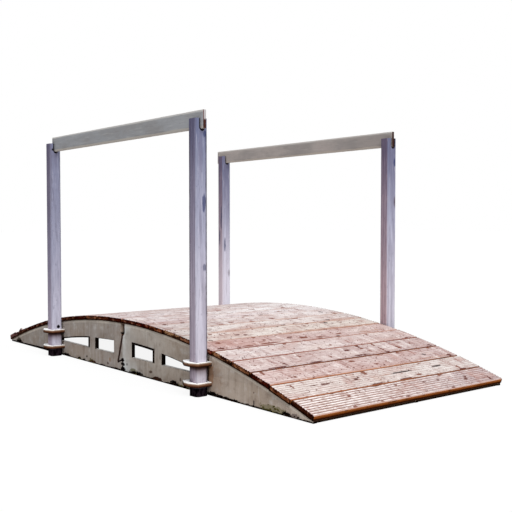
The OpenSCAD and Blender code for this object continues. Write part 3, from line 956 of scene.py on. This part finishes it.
# %% Film plywood
def film_finish():
    wood = Finish("film_plywood", 0.62)
    spot = wood.place()
    along, _, up = spot.part()
    streak = spot.stretch(1.0, 1.0, 0.1).noise(46.0, 5.0, 0.6)
    cloudy = spot.noise(4.2, 4.0, 0.6)
    mottled = spot.noise(19.0, 4.0, 0.65)
    speck = spot.noise(170.0, 2.0, 0.5)
    fine = spot.noise(60.0, 4.0, 0.65)

    base = wood.ramp(along.between(-1.62, 1.62), (0.0, (153, 145, 139)), (0.25, (162, 152, 144)),
                     (0.495, (160, 150, 143)), (0.505, (236, 238, 236)), (0.56, (210, 206, 200)),
                     (0.63, (184, 175, 165)), (0.85, (180, 165, 152)))
    wood.colour = wood.mix(cloudy.between(0.4, 0.66, 0.55), base, (150, 132, 116))
    wood.stain(mottled.between(0.5, 0.7, 0.5), (130, 112, 100))
    wood.stain(mottled.between(0.46, 0.28, 0.45), (200, 196, 192))
    wood.stain(streak.between(0.5, 0.78, 0.4), (120, 106, 97))
    wood.stain(streak.between(0.46, 0.26, 0.4), (206, 198, 190))
    wood.stain(speck.between(0.66, 0.76, 0.6), (90, 74, 64))

    upright = spot.stretch(1.0, 0.0, 1.0)
    radius = wood.node("VectorMath", "Value", {0: upright, 1: ARCH_CENTRE}, operation="DISTANCE")
    # A band along the top edge is painted lighter: a painted highlight where the edge catches the sky.
    wood.stain(radius.between(ARCH_RADIUS - 0.02, ARCH_RADIUS - 0.01, 0.55), (214, 204, 190))
    # A thin dark line at the very top edge: painted shadow of the deck boards' overhang.
    deck_shadow_line = (fine * 0.008 + radius).between(ARCH_RADIUS + 0.0005, ARCH_RADIUS + 0.002, 0.2)
    wood.stain(deck_shadow_line, (70, 44, 32))

    rough_rim = fine * 1.6 - 0.8
    wobble = fine * 0.008 - 0.004
    foot = up - spot.stretch(0.35, 1.0, 1.0).noise(17.0, 4.0, 0.7) * 0.03 - fine * 0.008
    wood.stain(foot.between(-0.0085, -0.0125), (26, 15, 10))
    # Half b stands on uneven ground: painted shadow of the gap under its low edge, blackest towards the
    # posts.
    line = up - wood.node("MapRange", 0, {
        "Value": along, "From Min": -1.5, "From Max": -0.86, "To Min": 0.01, "To Max": 0.02})
    line = (wobble * 0.4 + line).between(0.001, -0.001) * along.between(-0.845, -0.85)
    wood.stain(line, (16, 10, 8))
    for x, z, half_x, half_z, tone, share in FOOT_MARKS:
        place, size = (x / 1000, -HALF_FRAME, z / 1000), (half_x / 1000, STAIN_DEEP, half_z / 1000)
        wood.stain(spot.near(place, size, rough_rim, 0.78) * share, tone)
    # The open joint is darkened along its slanted edge, at its seat and at its foot: painted shade.
    slant, seat = joint_shade(along, up, wobble)
    wood.stain(slant * 0.95, wood.mix(mottled, (50, 30, 26), (98, 72, 64)))
    wood.stain(seat, (18, 10, 8))
    # Round the hand holes the face is painted in shade.
    wood.stain(hole_rim_shade(along, up, radius, wobble * 0.5), (22, 14, 11))

    # The hand holes' sills face the sky and are made pale: painted light.
    sill = wood.facing(2) * abs(up - SILL).between(0.006, 0.004, 0.9)
    # The cut edges in the crown notch are made lighter: painted light.
    in_notch = abs(along).between(0.03, 0.028) * up.between(0.222, 0.232)
    # Cut edges that look along X are near black: dark veneers with painted shade.
    edge = wood.coats(veneer_edge(wood, spot), (wood.facing(0), (16, 10, 8)),
                      (sill, wood.mix(fine, (196, 192, 188), (236, 234, 230))),
                      (in_notch, wood.mix(fine, (150, 130, 116), (196, 178, 162))))
    wood.colour = wood.mix(wood.facing(1), edge, wood.colour)
    return wood.done(streak * 0.5 + speck * 0.5, 0.0008)


film_plywood = film_finish()
print("film plywood ready")

# %% [markdown]
# ## Worn arrises for the sawn plywood
# Panels, collars and battens keep their CAD outline. What the CAD leaves out
# is the softened edge that years of feet and weather give. A copy of the
# CAD mesh is merged into one shell, its flat triangles are dissolved into
# whole faces, and a Bevel modifier rounds every sharp edge a little.

# %% Copy and soften the panels
PANEL_ARRIS = 0.0016


def softened(node, name, width, segments=2):
    """A merged copy of a CAD node with its sharp edges rounded."""
    piece = twin(nodes[node], name)
    piece.parent = None
    for key in [k for k in piece.keys() if k.startswith("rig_")]:
        del piece[key]
    only(piece)
    bpy.ops.object.mode_set(mode="EDIT")
    bpy.ops.mesh.select_all(action="SELECT")
    bpy.ops.mesh.remove_doubles(threshold=0.00002)
    bpy.ops.mesh.dissolve_limited(angle_limit=math.radians(0.05))
    ease_edges(piece, width, segments)
    return piece


for half in "ab":
    for row in ("near", "middle", "far"):
        piece = softened(f"panel_{half}_{row}", f"side_{half}_{row}", PANEL_ARRIS)
        finish_piece(piece, film_plywood, "film_plywood", f"panel_{half}_{row}", angle=30)
print("panels softened")

# %% [markdown]
# ## Battens, collars and rails
# The battens behind the joint are plain sawn softwood gone brown. A collar
# is a ring of the same plywood as the panels, but its top lies open to rain
# and sun: it is painted nearly white, for bleaching and for the sky light
# on it, over dark, layered edges, and the faces turned to -X and the
# underside are painted in shade. A rail is a strip of the same sheet on its
# edge.

# %% Finishes for battens, collars and rails
def batten_finish():
    wood = Finish("batten_timber", 0.85)
    spot = wood.place()
    fibre = spot.stretch(1.0, 0.06, 1.0).noise(170.0, 5.0, 0.65)
    wood.colour = wood.mix(fibre.between(0.35, 0.68), (128, 84, 54), (70, 40, 24))
    wood.stain(spot.noise(12.0).between(0.45, 0.7, 0.6), (44, 24, 16))
    return wood.done(fibre, 0.001)


def collar_finish():
    wood = Finish("collar_plywood", 0.75)
    spot = wood.place()
    blotch = spot.noise(26.0, 4.0, 0.6)
    drawn = spot.stretch(0.12, 1.0, 1.0).noise(150.0, 4.0, 0.6)
    top = wood.coats((255, 254, 254), (blotch.between(0.54, 0.76, 0.3), (218, 210, 204)),
                     (drawn.between(0.6, 0.82, 0.3), (184, 172, 164)))
    normal = wood.node("NewGeometry", "Normal", {}).part()
    height = spot.part()[2]
    below = (height > 0.12) * 0.102 + 0.07 - height
    rim = wood.ramp(below * 40.0, (0.04, (242, 236, 230)), (0.18, (164, 138, 118)),
                    (0.38, (122, 86, 64)), (0.6, (84, 48, 31)), (0.76, (32, 15, 9)))
    # Faces turned to -X and the underside are painted in shade; the top is painted near white for bleaching
    # and the sky light on it.
    wood.colour = wood.coats(rim, (blotch.between(0.48, 0.66, 0.5), (62, 32, 18)),
                             (normal[0].between(-0.1, -0.45, 0.8), (34, 19, 12)),
                             (normal[2].between(0.25, 0.75), top),
                             (normal[2].between(-0.25, -0.75), (36, 22, 16)))
    return wood.done(drawn, 0.0008)


RAIL_LINE = 0.7215


def rail_finish():
    wood = Finish("rail_plywood", 0.6)
    spot = wood.place()
    along, through, up = spot.part()
    fibre = spot.stretch(0.07, 1.0, 1.0).noise(150.0, 5.0, 0.62)
    cloudy = spot.stretch(0.5, 1.0, 1.0).noise(9.0, 4.0, 0.6)
    speck = spot.noise(150.0, 2.0, 0.5)
    near_side = through.between(-0.2, 0.2)
    near_base = wood.mix(along.between(0.1, 0.8), (162, 163, 166), (168, 169, 172))
    far_base = wood.mix(along.between(0.2, 0.7), (183, 174, 169), (168, 160, 156))
    wood.colour = wood.mix(near_side, near_base, far_base)
    wood.stain(cloudy.between(0.4, 0.68, 0.6), (148, 144, 142))
    wood.stain(fibre.between(0.52, 0.78, 0.5), (126, 120, 118))
    wood.stain(fibre.between(0.46, 0.26, 0.4), (206, 204, 200))
    ragged = cloudy * 0.012 + up
    wood.stain(ragged.between(1.343, 1.337, 0.6), (204, 194, 180))
    wood.stain(ragged.between(1.4095, 1.4135, 0.6), (222, 218, 212))
    wood.stain(speck.between(0.69, 0.76, 0.5), (84, 72, 66))
    outer = through.between(-RAIL_LINE - 0.004, -RAIL_LINE - 0.0055)
    # On the far rail the sawn end is darkened: painted shade.
    end_cut = wood.coats((184, 178, 178), (outer, (92, 44, 40)),
                         (up.between(1.372, 1.362), (72, 44, 38)), (near_side, (64, 42, 38)))
    edge = wood.coats(veneer_edge(wood, spot), (wood.facing(2), (196, 188, 178)), (wood.facing(0), end_cut))
    wood.colour = wood.mix(wood.facing(1), edge, wood.colour)
    return wood.done(fibre, 0.0008)


BATTEN_ARRIS, COLLAR_ARRIS = 0.0015, 0.0022
batten_timber = batten_finish()
collar_plywood = collar_finish()
rail_plywood = rail_finish()

for half in "ab":
    piece = softened("battens_" + half, "joint_battens_" + half, BATTEN_ARRIS, 1)
    finish_piece(piece, batten_timber, "batten_timber", "battens_" + half, angle=35)
    for row in ("near", "far"):
        piece = softened(f"collars_{half}_{row}", f"post_rings_{half}_{row}", COLLAR_ARRIS)
        finish_piece(piece, collar_plywood, "collar_plywood", f"collars_{half}_{row}", angle=35)
print("battens and collars softened")

# %% [markdown]
# ## Rails
# Each rail starts as a thin block on edge. It is cut into short lengths, its
# long edges are bevelled, and a soft noise lets it bow and wave by a
# millimetre, as an old strip of plywood does.

# %% Rails
RAIL_ARRIS, RAIL_BOW, RAIL_FUZZ = 0.0014, 0.0030, 0.0012

for row in ("near", "far"):
    low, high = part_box("rail_" + row)
    piece = block("rail_bar_" + row, high - low, (low + high) / 2)
    cut_lengths(piece, 0, 69)
    cut_lengths(piece, 2, 3)
    ease_edges(piece, RAIL_ARRIS)
    roughen(piece, wear_broad, RAIL_BOW, way="Y")
    roughen(piece, wear_fine, RAIL_FUZZ)
    finish_piece(piece, rail_plywood, "rail_plywood", "rail_" + row, angle=35)
print("rails ready")

# %% [markdown]
# ## Weathered post timber
# The posts were planed softwood. Rain and sun have turned them a silvery
# lavender, palest near the deck and darker towards the top, with upright
# grain, a few knots and drying cracks. Their feet stand wet and are nearly
# black. Painted shade darkens the faces that look along Y, strips down the
# corners of the near post of half a, the timber between the collars and
# just under the upper one, and the slot; painted light brightens the far
# post of half b low down.

# %% Post timber
SLOT_WIDE, SLOT_DEEP = 0.028, 0.055
POST_HIGH = 1.374
POST_KNOTS = 8.5
SLOT_AXIS = POST_HIGH - SLOT_DEEP + SLOT_WIDE / 2
INK, DUSK, SOOTY = (58, 64, 104), (84, 86, 112), (22, 16, 18)


def on_post(node, face_x, across, up):
    """A place on a post: on its +X face (1) or its near face (0)."""
    low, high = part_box(node)
    middle = (low + high) / 2
    if face_x:
        return (high.x, middle.y + across, up)
    return (middle.x + across, low.y, up)


POST_MARKS = [
    (on_post("post_a_near", 1, 0.016, 1.300), (0.02, 0.012, 0.020), INK, 0.7),
    (on_post("post_a_near", 1, 0.010, 0.960), (0.02, 0.014, 0.050), INK, 0.8),
    (on_post("post_a_near", 1, 0.012, 0.640), (0.02, 0.010, 0.022), DUSK, 0.7),
    (on_post("post_a_far", 1, 0.016, 1.230), (0.02, 0.014, 0.030), INK, 0.8),
    (on_post("post_b_near", 1, 0.008, 0.190), (0.015, 0.015, 0.014), (12, 8, 14), 1.0),
    (on_post("post_b_near", 1, -0.020, 1.335), (0.012, 0.009, 0.010), SOOTY, 0.9),
    (on_post("post_b_far", 0, 0.012, 0.900), (0.010, 0.02, 0.100), DUSK, 0.9),
    (on_post("post_b_far", 0, -0.008, 0.760), (0.010, 0.02, 0.070), DUSK, 0.8),
    (on_post("post_b_far", 1, -0.020, 0.700), (0.02, 0.010, 0.060), DUSK, 0.8),
    (on_post("post_b_near", 1, 0.0, 0.74), (0.10, 0.10, 0.44), DUSK, 0.19),
    (on_post("post_b_near", 0, 0.0, 1.16), (0.08, 0.02, 0.40), (84, 66, 62), 0.16),
]


def post_finish():
    wood = Finish("post_timber", 0.8)
    spot = wood.place()
    along, across, up = spot.part()
    fibre = spot.stretch(1.0, 1.0, 0.05).noise(190.0, 5.0, 0.65)
    rings = spot.stretch(1.0, 1.0, 0.1).bands(16.0, 6.0, 2.0)
    cloudy = spot.stretch(1.0, 1.0, 0.3).noise(7.0, 4.0, 0.6)
    fine = spot.stretch(1.0, 1.0, 0.4).noise(75.0, 4.0, 0.65)

    half_b, far_row = along.between(0.3, -0.3), across.between(-0.3, 0.3)
    near_b = half_b * across.between(0.3, -0.3)
    lift = near_b * (0.45 - up * 0.42) + up
    height = cloudy * 0.3 + lift
    wood.colour = wood.ramp(height * 0.625, (0.1, (198, 192, 202)), (0.38, (200, 196, 210)),
                            (0.62, (168, 168, 188)), (0.92, (114, 118, 146)))
    wood.stain(rings.between(0.45, 0.95, 0.3), (108, 98, 118))
    wood.stain(fibre.between(0.5, 0.76, 0.6), (92, 84, 100))
    wood.stain(fibre.between(0.46, 0.26, 0.45), (222, 218, 228))
    wood.stain(fine.between(0.6, 0.74, 0.5), (92, 86, 108))
    # Faces that look along Y are darkened and warmed: painted shade.
    shaded_sides = wood.facing(1, 0.75, 0.95)
    wood.shade(shaded_sides * 0.9, wood.mix(far_row, (230, 218, 222), (250, 222, 218)))
    # The far post of half b is lighter low down: painted light.
    wood.stain(half_b * far_row * up.between(1.0, 0.3, 0.55), (240, 236, 248))

    knot_bed = spot.stretch(1.0, 1.0, 0.55)
    knot_far = knot_bed.cells(POST_KNOTS)
    few = knot_bed.cells(POST_KNOTS, "Color").part()[0].between(0.78, 0.8)
    wood.stain(knot_far.between(0.24, 0.08) * few, (98, 86, 100))
    wood.stain(knot_far.between(0.09, 0.05) * few, (44, 32, 38))

    rough_rim = fine * 1.4 - 0.7
    for place, size, tone, share in POST_MARKS:
        wood.stain(spot.near(place, size, rough_rim) * share, tone)

    # Dark strips down the corners of the near post of half a, below 1.32 m: painted shade on the chamfers.
    corner = across.between(-0.7035, -0.7) * across.between(-0.6, -0.65)
    corner = corner.or_more(along.between(0.812, 0.809) * across.between(-0.74, -0.75))
    corner = corner * (along.between(0.5, 0.6) * up.between(1.32, 1.29))
    wood.stain(corner * fine.between(0.3, 0.6, 0.45, 0.85), (44, 36, 46))

    # Between the collars the post is darkened by multiplying: painted shade with soiling, less on the faces
    # that look along Y on half a.
    between_collars = up.between(0.052, 0.062) * up.between(0.156, 0.151)
    less = (shaded_sides * along.between(0.0, 0.1)).between(0.0, 1.0, 0.5, 1.0)
    wood.shade(between_collars * up.between(0.088, 0.15, 0.9, 0.16) * less, (153, 130, 125))
    # A dark brown band just under the upper collar: painted shadow of the collar with stain.
    wood.stain(up.between(0.124, 0.146, 0.9) * up.between(0.154, 0.151), (58, 30, 22))
    damp = (up - cloudy * 0.02).between(0.056, 0.03)
    wood.stain(damp, wood.mix(fine.between(0.38, 0.6), (38, 28, 35), (5, 2, 4)))

    aside = abs(across) - RAIL_LINE
    below = (up - SLOT_AXIS).or_less(0.0) * 0.82
    from_slot = (aside ** 2.0 + below ** 2.0) ** 0.5
    # Round the slot the timber is near black: painted shade.
    slot_shade = from_slot.between(0.019, 0.017, 0.96) * (up > SLOT_AXIS - 0.028)
    wood.stain(wood.facing(2), wood.mix(fibre, (128, 112, 108), (88, 72, 68)))
    wood.stain(slot_shade, (20, 13, 14))
    return wood.done(fibre * 0.7 + rings * 0.3, 0.0012)


post_timber = post_finish()
print("post timber ready")

# %% [markdown]
# ## Posts
# A post is a square block. Its four long corners are bevelled flat in edit
# mode, then it is cut into lengths for the wear to work on. The slot for the
# rail is a Boolean with a cutter that is half round at its floor. Long thin
# wedges cut the drying cracks.

# %% Model the posts
CHAMFER, POST_ARRIS, POST_FUZZ = 0.012, 0.0015, 0.0007
CRACKS, CRACK_WIDE, CRACK_DEEP = 3, 0.0022, 0.012


def cutter_for_slot(low, high):
    """A bar along X with a round underside, where the slot will be."""
    middle = (low + high) / 2
    line = high.z - SLOT_DEEP + SLOT_WIDE / 2
    bpy.ops.object.select_all(action="DESELECT")
    bpy.ops.mesh.primitive_cylinder_add(vertices=32, radius=SLOT_WIDE / 2, depth=0.2,
                                        location=(middle.x, middle.y, line),
                                        rotation=(0.0, math.radians(90), 0.0))
    cutter = bpy.context.active_object
    settle(cutter)
    press_where(cutter, lambda v: v.co.z > line + HAIR, (1.0, 1.0, 0.001), (middle.x, middle.y, line))
    bpy.ops.transform.translate(value=(0.0, 0.0, 0.08))
    return cutter


def wedge(length, place, turn):
    """A thin spindle that cuts a drying crack."""
    bpy.ops.object.select_all(action="DESELECT")
    bpy.ops.mesh.primitive_uv_sphere_add(segments=6, ring_count=8, radius=0.5, location=(0.0, 0.0, 0.0))
    spindle = bpy.context.active_object
    spindle.scale = (CRACK_WIDE, CRACK_DEEP * 2, length)
    spindle.rotation_euler = turn
    spindle.location = place
    settle(spindle)
    return spindle


def carve(piece, cutter):
    """Cut the cutter's shape out of the piece and drop the cutter."""
    apply_modifier(piece, "BOOLEAN", operation="DIFFERENCE", object=cutter, solver="EXACT")
    bpy.data.objects.remove(cutter)


random.seed(7)
for half in "ab":
    for row in ("near", "far"):
        node = f"post_{half}_{row}"
        low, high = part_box(node)
        middle = (low + high) / 2
        piece = block(f"upright_{half}_{row}", high - low, middle)
        for offset, segments in ((CHAMFER, 1), (POST_ARRIS, 2)):
            choose_where(piece, "EDGE", runs_along(2))
            bpy.ops.mesh.bevel(offset=offset, segments=segments, affect="EDGES")
        cut_lengths(piece, 2, 59)
        roughen(piece, wear_fine, POST_FUZZ, 0.6)
        carve(piece, cutter_for_slot(low, high))
        for _ in range(CRACKS):
            axis = random.choice((0, 1))
            side = random.choice((-1, 1))
            place = Vector((middle.x, middle.y, random.uniform(0.25, 1.15)))
            place[axis] = (high if side > 0 else low)[axis]
            place[1 - axis] += random.uniform(-0.015, 0.015)
            turn = Euler((0.0, random.uniform(-0.02, 0.02), math.radians(90 if axis == 0 else 0)))
            carve(piece, wedge(random.uniform(0.12, 0.34), place, turn))
        finish_piece(piece, post_timber, "post_timber", node, angle=28)
print("posts ready")

# %% [markdown]
# ## Soil that clings to the feet
# Such a bridge stands in an arena, so soil packs under its low ends and
# crumbs and moss cling to the foot of the sides. Painted marks stay flat, so
# the crumbs are modelled: one pebble, an icosphere pressed and roughened, is
# copied at the places where soil gathers, and the copies are joined. The
# packed soil under an end is a low bank with a ragged edge, and its near-black
# colour also stands in for the shadow under the end: painted shade.

# %% Packed soil
SOIL_BANK, BANK_PLACE = (0.042, 1.344, 0.013), 1.596
SOIL_FUZZ = 0.004
SOLE = 0.0005


def soil_finish(name, dark, light):
    earth = Finish(name, 0.95)
    spot = earth.place()
    grains = spot.noise(260.0, 3.0, 0.6)
    lumps = spot.noise(60.0, 2.0, 0.5)
    earth.colour = earth.mix(grains.between(0.4, 0.66), dark, light)
    earth.stain(lumps.between(0.5, 0.66, 0.6), (12, 8, 6))
    return earth.done(grains, 0.001)


def flatten_sole(piece, level):
    """Press what lies below a level flat, just clear of the floor."""
    press_where(piece, lambda v: v.co.z < level, (1.0, 1.0, 0.0), (0.0, 0.0, SOLE))
    only(piece)


soil = soil_finish("clinging_soil", (20, 12, 8), (52, 36, 26))
moss = soil_finish("moss_crumbs", (58, 52, 26), (128, 120, 66))
soil_rough = cloud("soil_rough", 0.006)

# The bank's near-black soil also stands in for the shadow under each low end: painted shade.
for half, side in (("a", 1.0), ("b", -1.0)):
    bank = block("packed_soil_" + half, SOIL_BANK, (BANK_PLACE * side, 0.0, SOIL_BANK[2] / 2))
    cut_lengths(bank, 1, 160)
    cut_lengths(bank, 0, 4)
    move_where(bank, lambda v: v.co.z > 0.01 and abs(v.co.x) > 1.61, 0.0, 0.0, -0.002)
    roughen(bank, soil_rough, SOIL_FUZZ, 0.6, way="Z")
    flatten_sole(bank, 0.004)
    finish_piece(bank, soil, "larch_decking")
print("soil packed under both ends")

# %% [markdown]
# ## Crumbs of soil and moss
# A crumb is an icosphere with a flat underside, roughened once and then
# copied in many sizes and turns. A particle system could scatter it, but
# runs along the foot, each with its own number and height, are easier to
# place. Every fourth crumb goes to the far side.

# %% Crumbs of soil and moss
bpy.ops.object.select_all(action="DESELECT")
bpy.ops.mesh.primitive_ico_sphere_add(subdivisions=2, radius=0.5, location=(0.0, 0.0, 0.0))
pebble = bpy.context.active_object
settle(pebble)
press_where(pebble, lambda v: v.co.z < -0.2, (1.0, 1.0, 0.3), (0.0, 0.0, -0.2))
roughen(pebble, cloud("pebble_rough", 0.5, 1), 0.5, space="LOCAL")

CRUMB_OUT = 0.0005
# Start, end and number of crumbs along the near foot, then how high they climb.
SOIL_RUNS = [(-1.53, -1.45, 7, 0.022), (-0.78, -0.70, 6, 0.006), (0.06, 0.23, 14, 0.012),
             (0.33, 0.41, 8, 0.018), (0.51, 0.58, 6, 0.018), (0.87, 1.08, 14, 0.010), (1.40, 1.53, 12, 0.016)]
MOSS_RUNS = [(-0.56, -0.51, 4, 0.008), (-0.42, -0.32, 8, 0.026), (0.09, 0.16, 6, 0.022),
             (0.58, 0.69, 8, 0.012), (1.25, 1.42, 22, 0.030)]


def scatter(name, runs, paint):
    """Copies of the pebble along the foot of the near and far sides, joined into one piece."""
    crumbs = []
    for start, end, count, climb in runs:
        for step in range(count):
            side = -1.0 if step % 4 else 1.0
            crumb = twin(pebble, name)
            wide = random.uniform(0.005, 0.013)
            crumb.scale = (wide * random.uniform(0.9, 1.6), wide * 0.6, wide * random.uniform(0.5, 0.9))
            crumb.rotation_euler = (0.0, random.uniform(-0.5, 0.5), random.uniform(-0.4, 0.4))
            crumb.location = (random.uniform(start, end), side * (HALF_FRAME + CRUMB_OUT),
                              0.003 + random.random() ** 2 * climb)
            settle(crumb)
            crumbs.append(crumb)
    only(crumbs[0])
    for crumb in crumbs:
        crumb.select_set(True)
    bpy.ops.object.join()
    crumbs[0].name = name
    flatten_sole(crumbs[0], SOLE)
    finish_piece(crumbs[0], paint, "film_plywood", angle=60)
    return len(crumbs)


random.seed(23)
print("crumbs:", scatter("soil_crumbs", SOIL_RUNS, soil), scatter("moss_crumbs", MOSS_RUNS, moss))
bpy.data.objects.remove(pebble)

# %% [markdown]
# ## Size
# Blender must not change the size of the bridge, so the box of the finished model is printed.

# %% Finish
low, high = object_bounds()
print("visual box", [round(v, 4) for v in (*low, *high)])
